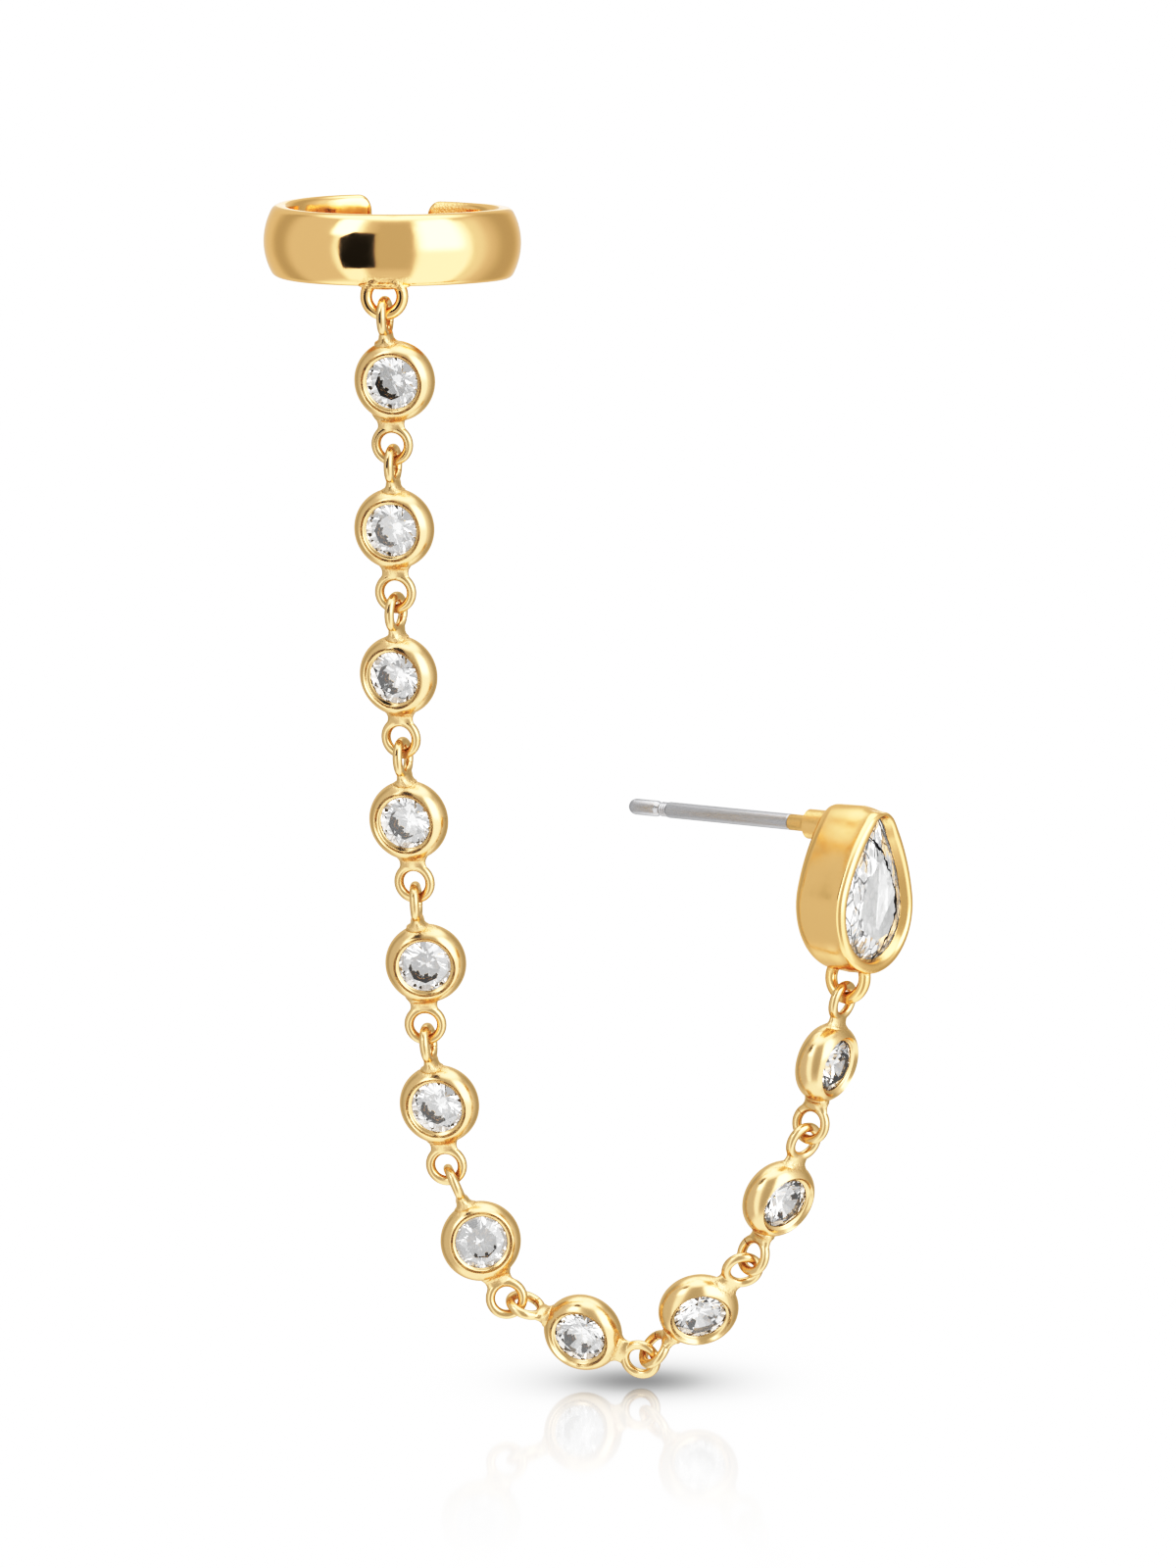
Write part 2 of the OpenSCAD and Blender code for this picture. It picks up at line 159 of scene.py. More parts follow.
class StudSizes(bpy.types.PropertyGroup):
    unit: length("Outline unit", "The stone's round end has a radius of 49 of these", 0.05)
    wall: length("Wall", "Thickness of the wall around the stone", 0.65)
    depth: length("Depth", "Depth of the setting", 3)
    back_edge: length("Back edge", "Rounding of the back edge", 0.85)
    back_tip: angle("Back tip", "How far the back is tipped, to deepen the top", 4.5)
    rim_radius: length("Rim radius", "Radius of the rounded rim at the front", 0.34)
    waist: length("Waist", "How far the wall draws in behind the rim", 0.008)
    loop_radius: length("Loop radius", "Radius of the loop, to the middle of its wire", 0.99)
    loop_wire: length("Loop wire", "Radius of the loop's wire", 0.3)
    loop_drop: length("Loop drop", "How far the loop's middle lies below the round end's", 3.37)
    yaw: angle("Yaw", "Turn of the face toward +X", 53)
    roll: angle("Roll", "Lean in the plane of the face", 7)


class PostSizes(bpy.types.PropertyGroup):
    radius: length("Radius", "Radius of the post", 0.4)
    reach: length("Reach", "Distance from the setting's back to the tip", 12.3)
    height: length("Height", "Height above the middle of the round end", 3.85)
    cup_radius: length("Cup radius", "Radius of the solder cup", 0.73)
    cup_length: length("Cup length", "Length of the solder cup", 1.7)
    sleeve_length: length("Sleeve length", "Length of the sleeve past the cup", 0.87)


class Finishes(bpy.types.PropertyGroup):
    mirror_gold: colour("Mirror gold", "Colour of the cuff's gold plate", (0.9, 0.61, 0.315))
    soft_gold: colour("Soft gold", "Colour of the stud's gold plate", (0.86, 0.59, 0.3))
    pale_gold: colour("Pale gold", "Colour of the links' gold plate", (0.77, 0.562, 0.32))
    gold_edge: colour("Gold edge", "Tint of gold plate seen at a grazing angle", (1.0, 0.88, 0.72))
    mirror_roughness: share("Mirror roughness", "Roughness of the polished gold of the cuff", 0.08)
    soft_roughness: share("Soft roughness", "Roughness of the softer gold of the stud", 0.17)
    pale_roughness: share("Pale roughness", "Roughness of the pale gold of the links", 0.18)
    solder_roughness: share("Solder roughness", "Roughness of grainy solder", 0.32)
    steel: colour("Steel", "Colour of the post", (0.52, 0.52, 0.53))
    steel_roughness: share("Steel roughness", "Roughness of the post", 0.3)
    lining: colour("Lining", "Colour of the bright inside of the pear setting", (0.93, 0.93, 0.92))
    stone: colour("Stone", "Colour of the clear stones", (0.8, 0.8, 0.8))
    stone_ior: bpy.props.FloatProperty(
        name="Stone IOR", description="Index of refraction of the stones", default=2.15
    )
    stone_light: share("Stone light", "Light added at each facet of the clear stones", 0.006)
    mottle: length("Mottle", "Height of the mottle on the clear stones", 0.0004)
    silver: share("Silver", "Share of the pear stone's surface that shines like silver", 0.7)
    silver_level: share("Silver level", "Brightness of its silvery facets", 0.9)
    silver_light: share("Silver light", "Light added to its silvery facets", 0.17)


class StageSettings(bpy.types.PropertyGroup):
    elevation: angle("Elevation", "Angle of the camera above the object", 7.5)
    distance: length("Distance", "Distance of the camera", 520)
    lens: bpy.props.FloatProperty(
        name="Lens", description="Focal length for a frame 36 mm high", default=245.7
    )
    floor_gap: length("Floor gap", "Space between the lowest loop and the floor", 0.25)
    floor: colour("Floor", "Colour of the floor", (1.0, 1.0, 1.0))
    floor_gloss: share("Floor gloss", "Strength of the floor's reflection beside the chain", 0.42)
    shadow_depth: share("Shadow depth", "How dark the middle of the shadow is", 0.73)
    shadow_size: length("Shadow size", "Spread of the shadow under the chain", 3.6)
    shadow_place: bpy.props.FloatVectorProperty(
        name="Shadow place",
        description="Middle of the shadow on the floor",
        default=(11.93 * MM, -0.85 * MM),
        size=2,
        unit="LENGTH",
        precision=5,
    )


GROUPS = {
    "ear_cuff_sizes": EarCuffSizes,
    "link_sizes": LinkSizes,
    "stud_sizes": StudSizes,
    "post_sizes": PostSizes,
    "earring_finishes": Finishes,
    "earring_stage": StageSettings,
}


# Modelling helpers


def select_only(*objects):
    if bpy.context.mode != "OBJECT":
        bpy.ops.object.mode_set(mode="OBJECT")
    bpy.ops.object.select_all(action="DESELECT")
    for piece in objects:
        piece.select_set(True)
        bpy.context.view_layer.objects.active = piece


def edit(piece):
    select_only(piece)
    bpy.ops.object.mode_set(mode="EDIT")


def choose_all():
    bpy.ops.mesh.select_all(action="SELECT")


def choose_vertices(piece, chosen):
    """Selects the vertices of the piece being edited whose place passes the test."""
    mesh = bmesh.from_edit_mesh(piece.data)
    for vertex in mesh.verts:
        vertex.select = chosen(vertex.co)
    mesh.select_flush_mode()


def apply_place():
    bpy.ops.object.transform_apply(location=True, rotation=True, scale=True)


def extrude(move):
    bpy.ops.mesh.extrude_region_move(TRANSFORM_OT_translate={"value": move})


def newest(name):
    piece = bpy.context.object
    piece.name = name
    piece.data.name = name
    return piece


def draw_profile(name, points):
    """Draws a chain of edges, extruding its last vertex from point to point. Stays in edit mode."""
    select_only()
    bpy.ops.mesh.primitive_plane_add(size=MM)
    piece = newest(name)
    edit(piece)
    choose_all()
    bpy.ops.mesh.merge(type="CENTER")
    bpy.ops.transform.translate(value=points[0])
    for last, point in zip(points, points[1:]):
        extrude(point - last)
    return piece


def spin(turn, steps, centre=(0, 0, 0), axis=ALONG_Y):
    bpy.ops.mesh.spin(steps=steps, dupli=False, angle=turn, center=centre, axis=axis)


def close_mesh(merge=0.0002 * MM):
    """Merges doubled vertices, points all faces outward and leaves edit mode."""
    choose_all()
    bpy.ops.mesh.remove_doubles(threshold=merge)
    bpy.ops.mesh.normals_make_consistent(inside=False)
    bpy.ops.object.mode_set(mode="OBJECT")


def lathe(name, points, steps):
    """Spins a closed profile all the way round the Y axis."""
    piece = draw_profile(name, [*points, points[0]])
    choose_all()
    spin(math.tau, steps)
    close_mesh()
    return piece


def apply_modifier(piece, kind, **values):
    select_only(piece)
    modifier = piece.modifiers.new(kind.title(), kind)
    for key, value in values.items():
        setattr(modifier, key, value)
    bpy.ops.object.modifier_apply(modifier=modifier.name)


def mirror(piece):
    """Adds the other half of a piece that is modelled on one side of X = 0."""
    apply_modifier(piece, "MIRROR", use_clip=True, merge_threshold=TOUCHING)


def combine(piece, others, operation="UNION"):
    for other in others:
        apply_modifier(piece, "BOOLEAN", operation=operation, solver="EXACT", object=other)
        bpy.data.objects.remove(other)


def arc(centre, radius, start, end, steps):
    """Points of an arc in a plane, as pairs of numbers, between two angles in degrees."""
    turns = [math.radians(start + (end - start) * k / steps) for k in range(steps + 1)]
    return [(centre[0] + radius * math.cos(t), centre[1] + radius * math.sin(t)) for t in turns]


def wire_loop(name, ring, wire, centre, rotation):
    select_only()
    bpy.ops.mesh.primitive_torus_add(
        major_radius=ring,
        minor_radius=wire,
        major_segments=56,
        minor_segments=20,
        location=centre,
        rotation=rotation,
    )
    piece = newest(name)
    apply_place()
    return piece


def settle(piece, place):
    """Moves a piece's mesh to its place and leaves its object at the origin."""
    piece.matrix_world = place
    select_only(piece)
    apply_place()


def copy_of(piece, name):
    twin = piece.copy()
    twin.data = piece.data.copy()
    twin.name = name
    twin.data.name = name
    bpy.context.scene.collection.objects.link(twin)
    return twin


def mark_solder(piece, amount):
    """Stores how grainy the metal is at each vertex, from 0 to 1."""
    attribute = piece.data.attributes.new("solder", "FLOAT", "POINT")
    attribute.data.foreach_set("value", [amount(v.co) for v in piece.data.vertices])


def fade(distance, width):
    """1 at no distance, falling smoothly to 0 at the given width."""
    t = max(0.0, min(1.0, 1 - distance / width))
    return t * t * (3 - 2 * t)


def finish_piece(piece, materials, nodes, smooth=40, allowed=0.35 * MM):
    """Smooths a piece, gives it its materials, and ties it to the CAD nodes that it stands for."""
    select_only(piece)
    bpy.ops.object.shade_smooth_by_angle(angle=math.radians(smooth))
    for material in materials:
        piece.data.materials.append(material)
    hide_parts(*nodes)
    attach(piece, "root")
    check_place(piece, nodes, allowed)


def check_place(piece, nodes, allowed):
    """Stops the script if a piece doesn't fill the box of the CAD nodes that it replaces."""
    boxes = [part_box(node) for node in nodes]
    for axis in range(3):
        low = min(v.co[axis] for v in piece.data.vertices)
        high = max(v.co[axis] for v in piece.data.vertices)
        off = max(abs(low - min(b[0][axis] for b in boxes)), abs(high - max(b[1][axis] for b in boxes)))
        if off > allowed:
            raise RuntimeError(f"{piece.name} is {off / MM:.2f} mm off its CAD node along axis {axis}")


# Places


def link_rotation(pose):
    return (
        Matrix.Rotation(-math.radians(pose[TILT]), 4, "Y")
        @ Matrix.Rotation(math.radians(pose[LEAN]), 4, "X")
        @ Matrix.Rotation(math.radians(pose[TURN]), 4, "Z")
    )


def stud_rotation():
    sizes = bpy.context.scene.stud_sizes
    return Matrix.Rotation(sizes.yaw, 4, "Z") @ Matrix.Rotation(sizes.roll, 4, "Y")


def hung(carrier, rotation, up, ring, reach):
    """The middle of a piece hung in a carrier's loop, slipped to where their loops' planes cross."""
    sizes = bpy.context.scene.link_sizes
    middle, way, face = carrier
    next_way = rotation @ (Vector((0, 0, 1)) * up)
    crossing = face.cross(rotation @ Vector((1, 0, 0))).normalized()
    if crossing.dot(next_way) < 0:
        crossing.negate()

    def slipped(along):
        return along.lerp(crossing, sizes.hook_slip).normalized()

    between = (way + next_way).normalized()
    return middle + sizes.hook_drop * slipped(between) + ring * slipped(next_way) + reach * next_way


def chain_places():
    """The place of each link, then that of the stud, worked out from the cuff's loop down the chain."""
    cuff = bpy.context.scene.ear_cuff_sizes
    sizes = bpy.context.scene.link_sizes
    stud = bpy.context.scene.stud_sizes
    turned = Matrix.Rotation(cuff.turn, 4, "Z")
    carrier = (
        turned @ Vector((0, -cuff.loop_ring, -cuff.loop_drop)),
        Vector((0, 0, -1)),
        turned @ Vector((0, 1, 0)),
    )
    places = []
    for pose in LINK_POSES:
        rotation = link_rotation(pose)
        centre = hung(carrier, rotation, -1, sizes.loop_radius, sizes.reach)
        places.append(Matrix.Translation(centre) @ rotation)
        way = rotation @ Vector((0, 0, -1))
        carrier = (centre + sizes.reach * way, way, rotation @ Vector((0, 1, 0)))
    rotation = stud_rotation()
    centre = hung(carrier, rotation, 1, stud.loop_radius, stud.loop_drop)
    return [*places, Matrix.Translation(centre) @ rotation]


# Materials

# Marks to the metre and height of the solder's grain
GRAIN_SCALE = 9 / MM
GRAIN_HEIGHT = 0.05 * MM
# Marks to the metre of the smears on polished metal, and the roughness that they add
SMEAR_SCALE = 1.4 / MM
SMEAR_ROUGHNESS = 0.05
# Marks to the metre of the lines on drawn steel, and their width beside their length
LINE_SCALE = 0.6 / MM
LINE_WIDTH = 0.02
# How squarely a facet of the pear stone faces front: fully crown up to the first, and fully table
# from the second
CROWN_FACING, TABLE_FACING = 0.94, 0.98
# Breaks in the pear stone's facets, coarse to fine
FACET_BREAKS = (
    # cells to the mm, stretch along its height, tip of each cell, whether the table is calmer
    (0.8, 1.7, 0.5, False),
    (2.2, 1.7, 0.9, True),
    (5.0, 3.0, 0.8, True),
)
# The edges on the right of its table, beside which the painted dark reflection runs, as the way out from the
# stone's middle and the distance in mm
TABLE_EDGES = (
    # across, up, distance
    (0.773, 0.634, 1.73),
    (0.981, 0.192, 1.44),
    (0.924, -0.382, 1.36),
)


class Nodes:
    """Adds and links shader nodes. An input is given by its name, or as i and its number."""

    def __init__(self, owner):
        owner.use_nodes = True
        self.tree = owner.node_tree
        self.tree.nodes.clear()

    def add(self, kind, settings=None, **inputs):
        node = self.tree.nodes.new(kind)
        for key, value in (settings or {}).items():
            setattr(node, key, value)
        for key, value in inputs.items():
            by_number = key[0] == "i" and key[1:].isdigit()
            self.join(node.inputs[int(key[1:]) if by_number else key], value)
        return node

    def join(self, socket, value):
        if isinstance(value, bpy.types.NodeSocket):
            self.tree.links.new(value, socket)
        else:
            socket.default_value = value

    def math(self, operation, a, b=0.0):
        return self.add("ShaderNodeMath", {"operation": operation}, i0=a, i1=b).outputs[0]

    def times(self, a, b):
        return self.math("MULTIPLY", a, b)

    def plus(self, a, b):
        return self.math("ADD", a, b)

    def minus(self, a, b):
        return self.math("SUBTRACT", a, b)

    def ramp(self, value, low, high, to_low=0.0, to_high=1.0):
        settings = {"interpolation_type": "SMOOTHSTEP"}
        ends = {"i1": low, "i2": high, "i3": to_low, "i4": to_high}
        return self.add("ShaderNodeMapRange", settings, i0=value, **ends).outputs[0]

    def blend(self, part, first, second):
        """A value that goes from the first to the second as the part goes from 0 to 1."""
        node = self.add("ShaderNodeMix", {"data_type": "FLOAT"}, i0=part, i2=first, i3=second)
        return node.outputs[0]

    def mix(self, part, first, second):
        """A shader that goes from the first to the second in the same way."""
        return self.add("ShaderNodeMixShader", i0=part, i1=first, i2=second).outputs[0]

    def grey(self, level):
        return self.add("ShaderNodeCombineColor", i0=level, i1=level, i2=level).outputs[0]

    def emission(self, **inputs):
        return self.add("ShaderNodeEmission", **inputs).outputs[0]

    def where(self):
        """The place on the object, in metres."""
        return self.add("ShaderNodeTexCoord").outputs["Object"]

    def bump(self, height, **inputs):
        return self.add("ShaderNodeBump", Height=height, **inputs).outputs["Normal"]

    def surface(self, shader):
        self.add("ShaderNodeOutputMaterial", Surface=shader)

    def vector(self, operation, a, b=None):
        node = self.add("ShaderNodeVectorMath", {"operation": operation})
        self.join(node.inputs[0], a)
        if b is not None:
            self.join(node.inputs["Scale" if operation == "SCALE" else 1], b)
        return node.outputs["Value" if operation in {"DOT_PRODUCT", "DISTANCE"} else "Vector"]

    def noise(self, where, scale, detail=2.0):
        return self.add("ShaderNodeTexNoise", Vector=where, Scale=scale, Detail=detail).outputs["Fac"]


def new_material(name):
    material = bpy.data.materials.new(name)
    return material, Nodes(material)


def metal_surface(nodes, base, rough, normal, edge=(1, 1, 1)):
    shader = nodes.add("ShaderNodeBsdfPrincipled", Roughness=rough, Normal=normal)
    shader.inputs["Base Color"].default_value = (*base, 1)
    shader.inputs["Specular Tint"].default_value = (*edge, 1)
    shader.inputs["Metallic"].default_value = 1.0
    nodes.surface(shader.outputs[0])


def polished(name, base, roughness, rough_solder, wave_height, wave_scale, edge=(1, 1, 1)):
    """Metal with a faint wave and smears in its polish, and grain where its solder attribute is set."""
    material, nodes = new_material(name)
    where = nodes.where()
    solder = nodes.add("ShaderNodeAttribute", {"attribute_name": "solder"}).outputs["Fac"]
    smears = nodes.ramp(nodes.noise(where, SMEAR_SCALE, 3.0), 0.35, 0.7, 0.0, SMEAR_ROUGHNESS)
    rough = nodes.plus(nodes.times(solder, rough_solder - roughness), smears)
    rough = nodes.plus(rough, roughness)
    grain = nodes.times(nodes.noise(where, GRAIN_SCALE, 3.0), solder)
    wave = nodes.times(nodes.noise(where, wave_scale, 2.0), wave_height)
    height = nodes.plus(nodes.times(grain, GRAIN_HEIGHT), wave)
    metal_surface(nodes, base, rough, nodes.bump(height, Strength=1.0, Distance=1.0), edge)
    return material


def gold_plate(kind):
    """The gold plate of the cuff, of the stud or of the links: mirror, soft or pale."""
    finish = bpy.context.scene.earring_finishes
    return polished(
        kind + "_gold",
        getattr(finish, kind + "_gold"),
        getattr(finish, kind + "_roughness"),
        finish.solder_roughness,
        wave_height=0.004 * MM,
        wave_scale=1.1 / MM,
        edge=finish.gold_edge,
    )


def bright_lining():
    roughness = 0.22
    base = bpy.context.scene.earring_finishes.lining
    wave = {"wave_height": 0.006 * MM, "wave_scale": 2 / MM}
    return polished("bright_lining", base, roughness, roughness, **wave)


def drawn_steel():
    """Steel with fine lines along the post."""
    finish = bpy.context.scene.earring_finishes
    material, nodes = new_material("drawn_steel")
    along = nodes.add(
        "ShaderNodeMapping",
        {"vector_type": "TEXTURE"},
        Vector=nodes.where(),
        Rotation=stud_rotation().to_euler(),
        Scale=(LINE_WIDTH, 1.0, LINE_WIDTH),
    ).outputs[0]
    lines = nodes.noise(along, LINE_SCALE, 3.0)
    rough = nodes.ramp(lines, 0.3, 0.7, finish.steel_roughness - 0.06, finish.steel_roughness + 0.08)
    metal_surface(nodes, finish.steel, rough, nodes.bump(lines, Strength=0.5, Distance=0.01 * MM))
    return material


def clear_shader(nodes, **inputs):
    finish = bpy.context.scene.earring_finishes
    clear = nodes.add("ShaderNodeBsdfPrincipled", Roughness=0.0, **inputs)
    clear.inputs["Base Color"].default_value = (*finish.stone, 1)
    clear.inputs["Transmission Weight"].default_value = 1.0
    clear.inputs["IOR"].default_value = finish.stone_ior
    return clear.outputs[0]


def clear_stone():
    """Clear stone with a fine mottle. A little light at each facet keeps all of it from black."""
    finish = bpy.context.scene.earring_finishes
    material, nodes = new_material("clear_stone")
    mottle = nodes.times(nodes.noise(nodes.where(), 5 / MM, 2.0), finish.mottle)
    clear = clear_shader(nodes, Normal=nodes.bump(mottle, Strength=1.0, Distance=1.0))
    nodes.surface(nodes.mix(finish.stone_light, clear, nodes.emission()))
    return material


def silvery_stone():
    """Silvery stone: broken facets round a calm table, with painted dark reflections along the edges of the
    broken parts and in a jagged line beside the table.
    """
    finish = bpy.context.scene.earring_finishes
    material, nodes = new_material("silvery_stone")
    plain = nodes.add("ShaderNodeNewGeometry").outputs["Normal"]
    front = stud_rotation() @ Vector((0, -1, 0))
    facing = nodes.vector("DOT_PRODUCT", plain, tuple(front))
    broken = nodes.ramp(facing, CROWN_FACING, TABLE_FACING, 1.0, 0.25)
    normal = plain
    for grain, stretch, tip, calmer in FACET_BREAKS:
        cells = nodes.add("ShaderNodeTexVoronoi", Vector=stud_coordinates(nodes, stretch), Scale=grain)
        tipped = nodes.vector("SUBTRACT", cells.outputs["Color"], (0.5, 0.5, 0.5))
        size = nodes.times(broken, tip) if calmer else tip
        normal = nodes.vector("ADD", normal, nodes.vector("SCALE", tipped, size))
    line = painted_dark_line(nodes)
    # Painted dark reflection: on the jagged line the silvery facets and their added light turn almost black
    dark = nodes.ramp(line, 0.0, 1.0, finish.silver_level, 0.03)
    # The painted dark reflections of the crown's edges and of the jagged line darken the silvery tint
    tint = nodes.grey(nodes.times(crown_dark_reflections(nodes, facing), dark))
    normal = nodes.vector("NORMALIZE", normal)
    shine = nodes.add("ShaderNodeBsdfAnisotropic", Roughness=0.06, Color=tint, Normal=normal).outputs[0]
    light = nodes.emission(Strength=finish.silver_light, Color=tint)
    bright = nodes.add("ShaderNodeAddShader", i0=shine, i1=light).outputs[0]
    part = nodes.math("MAXIMUM", line, finish.silver)
    nodes.surface(nodes.mix(part, clear_shader(nodes), bright))
    return material


def crown_dark_reflections(nodes, facing):
    """Painted dark reflections along the edges between the broken parts of the crown, 1 off them and all
    over the table.
    """
    where = stud_coordinates(nodes, 2.6)
    settings = {"feature": "DISTANCE_TO_EDGE"}
    beside = nodes.add("ShaderNodeTexVoronoi", settings, Vector=where, Scale=2.6).outputs["Distance"]
    dark_reflection_lines = nodes.ramp(beside, 0.0, 0.09, 0.1, 1.0)
    return nodes.math("MAXIMUM", dark_reflection_lines, nodes.ramp(facing, CROWN_FACING, TABLE_FACING))


def stud_coordinates(nodes, stretch=1.0):
    """Millimetres from the middle of the stud, across it and up it, drawn out along its height."""
    place = chain_places()[-1]
    return nodes.add(
        "ShaderNodeMapping",
        {"vector_type": "TEXTURE"},
        Vector=nodes.where(),
        Location=tuple(place.translation),
        Rotation=place.to_euler(),
        Scale=(MM, MM, stretch * MM),
    ).outputs[0]


def painted_dark_line(nodes):
    """A jagged line of painted dark reflection along the right of the pear stone's table, 1 on it and 0 off
    it.
    """
    where = stud_coordinates(nodes)
    past = -10.0
    for across, up, distance in TABLE_EDGES:
        past_edge = nodes.minus(nodes.vector("DOT_PRODUCT", where, (across, 0, up)), distance)
        past = nodes.math("MAXIMUM", past_edge, past)
    jagged = nodes.times(nodes.minus(nodes.noise(where, 1.9, 5.0), 0.5), 0.7)
    width = nodes.ramp(nodes.noise(where, 1.1, 1.0), 0.35, 0.65, 0.05, 0.14)
    away = nodes.math("DIVIDE", nodes.math("ABSOLUTE", nodes.plus(past, jagged)), width)
    return nodes.ramp(away, 0.6, 1.0, 1.0, 0.0)


# Ear cuff

# Half sizes in mm of the solder between the band and its loop, and its height above the loop's middle
SOLDER_SIZE = (1.25, 0.34, 0.2)
SOLDER_HEIGHT = 0.52 * MM


def cuff_section(sizes):
    """The band's section at its front, closed, as points at a radius and a height."""
    dome_x = sizes.outer_radius - sizes.dome_radius
    corner_z = sizes.height / 2 - sizes.edge_radius
    reach = sizes.dome_radius - sizes.edge_radius
    corner_x = dome_x + math.sqrt(reach**2 - corner_z**2)
    swing = math.degrees(math.asin(corner_z / reach))
    inner_x = sizes.outer_radius - sizes.thickness + sizes.inner_edge_radius
    inner_z = sizes.height / 2 - sizes.inner_edge_radius
    pairs = arc((dome_x, 0), sizes.dome_radius, -swing, swing, 20)
    pairs += arc((corner_x, corner_z), sizes.edge_radius, swing, 90, 8)[1:]
    pairs += arc((inner_x, inner_z), sizes.inner_edge_radius, 90, 180, 6)
    pairs += arc((inner_x, -inner_z), sizes.inner_edge_radius, 180, 270, 6)
    pairs += arc((corner_x, -corner_z), sizes.edge_radius, -90, -swing, 8)[:-1]
    return [Vector((0, -radius, height)) for radius, height in pairs]


def round_the_end(sizes, steps=8, flattening=0.45, flat_from=0.25):
    """Draws the selected end face in along a quarter circle, so that the band ends in round corners."""
    turn = sizes.end_radius / sizes.outer_radius
    middle = sizes.outer_radius - sizes.thickness / 2
    last_height, last_thickness, last_turn = 1.0, 1.0, 0.0
    done = math.pi - sizes.gap / 2 / sizes.outer_radius - turn
    for k in range(1, steps + 1):
        sweep = math.pi / 2 * k / steps
        drawn = 1 - math.cos(sweep)
        height = 1 - drawn * sizes.end_radius / (sizes.height / 2)
        thickness = 1 - flattening * max(0.0, drawn - flat_from)
        way = done + turn * math.sin(sweep)
        extrude((0, 0, 0))
        bpy.ops.transform.rotate(
            value=-(turn * math.sin(sweep) - last_turn), orient_axis="Z", center_override=(0, 0, 0)
        )
        centre = (middle * math.sin(way), -middle * math.cos(way), 0)
        squeeze = (1, thickness / last_thickness, height / last_height)
        bpy.ops.transform.resize(value=squeeze, center_override=centre)
        last_height, last_thickness, last_turn = height, thickness, turn * math.sin(sweep)


class EARRING_OT_ear_cuff(bpy.types.Operator):
    """Spin the open band, round its ends, and solder its loop under the front"""

    bl_idname = "earring.ear_cuff"
    bl_label = "Ear cuff"

    def execute(self, context):
        sizes = context.scene.ear_cuff_sizes
        section = cuff_section(sizes)
        band = draw_profile("ear_cuff_band", [*section, section[0]])
        choose_all()
        bpy.ops.mesh.remove_doubles(threshold=TOUCHING)
        bpy.ops.mesh.edge_face_add()
        swept = math.pi - (sizes.gap / 2 + sizes.end_radius) / sizes.outer_radius
        spin(-swept, 84, axis=ALONG_Z)
        round_the_end(sizes)
        self.open_the_front(band)
        close_mesh()
        mirror(band)
        self.spring_the_ends(band, sizes)
        self.solder_the_loop(band, sizes)
        settle(band, Matrix.Rotation(sizes.turn, 4, "Z"))
        finish_piece(band, [gold_plate("mirror")], ["ear_cuff"], smooth=50)
        return {"FINISHED"}

    @staticmethod
    def open_the_front(band):
        """Deletes the first section's face, where the two halves of the band meet."""
        mesh = bmesh.from_edit_mesh(band.data)
        for face in mesh.faces:
            face.select = all(abs(v.co.x) < TOUCHING for v in face.verts)
        bpy.ops.mesh.delete(type="ONLY_FACE")

    @staticmethod
    def spring_the_ends(band, sizes):
        """Moves one end up and the other down a little, fading toward the front."""
        for side in (-1, 1):
            edit(band)
            bpy.ops.mesh.select_mode(type="VERT")
            choose_vertices(band, lambda co: co.y > 0.8 * sizes.outer_radius and co.x * side > 0)
            move = (0, 0, -side * sizes.end_offset)
            reach = 1.5 * sizes.outer_radius
            bpy.ops.transform.translate(value=move, proportional_size=reach, **SOFTLY)
            bpy.ops.object.mode_set(mode="OBJECT")

    @staticmethod
    def solder_the_loop(band, sizes):
        centre = Vector((0, -sizes.loop_ring, -sizes.loop_drop))
        loop = wire_loop("cuff_loop", sizes.loop_radius, sizes.loop_wire, centre, (math.pi / 2, 0, 0))
        select_only()
        seat = centre + Vector((0, 0, SOLDER_HEIGHT))
        bpy.ops.mesh.primitive_uv_sphere_add(segments=40, ring_count=24, radius=MM, location=seat)
        solder = newest("cuff_solder")
        solder.scale = SOLDER_SIZE
        apply_place()
        combine(band, [loop, solder])
        mark_solder(band, lambda co: max(solder_at_loop(co, seat), worn_end(co)))


def worn_end(point):
    """Wear on the inside of the end toward +X."""
    inside = fade(max(0.0, math.hypot(point.x, point.y) - 5.3 * MM), 0.2 * MM)
    return 0.9 * inside * fade(abs(point.x - 2.4 * MM), 1.6 * MM) if point.y > 0 else 0.0


def solder_at_loop(point, seat):
    """Grain round the top of the cuff's loop, where it meets the band."""
    beside = max(0.0, abs(point.x) - 0.9 * MM)
    above = abs(point.z - seat.z - 0.05 * MM)
    deep = max(0.0, abs(point.y - seat.y) - 0.45 * MM)
    return fade(math.hypot(beside, above, deep), 0.5 * MM)


# Links


def bezel_profile(sizes):
    """The bezel's section as points at a radius and a height in front of its middle."""
    wall = sizes.wall_radius
    ring = sizes.wall_ring
    back = -math.degrees(math.acos((sizes.back_hole - ring) / wall))
    front = math.degrees(math.acos((sizes.crest_radius - ring) / wall))
    crest = ring + wall * math.cos(math.radians(front)), wall * math.sin(math.radians(front))
    pairs = arc((ring, 0), wall, back, front - 3, 30)
    # The bevel inside the crest, as distances inward and forward of it in mm
    bevel = ((0.012, 0.002), (0.045, -0.035), (0.1, -0.15), (0.13, -0.185), (0.2, -0.215))
    pairs += [(crest[0] - inward * MM, crest[1] + forward * MM) for inward, forward in bevel]
    pairs += [
        (sizes.lip_radius + 0.03 * MM, 0.575 * MM),
        (sizes.lip_radius, 0.545 * MM),
        (sizes.lip_radius, 0.49 * MM),
        (sizes.seat_radius, 0.45 * MM),
        (sizes.seat_radius, 0.31 * MM),
        (sizes.back_hole, -0.24 * MM),
    ]
    return [Vector((radius, -height, 0)) for radius, height in pairs]


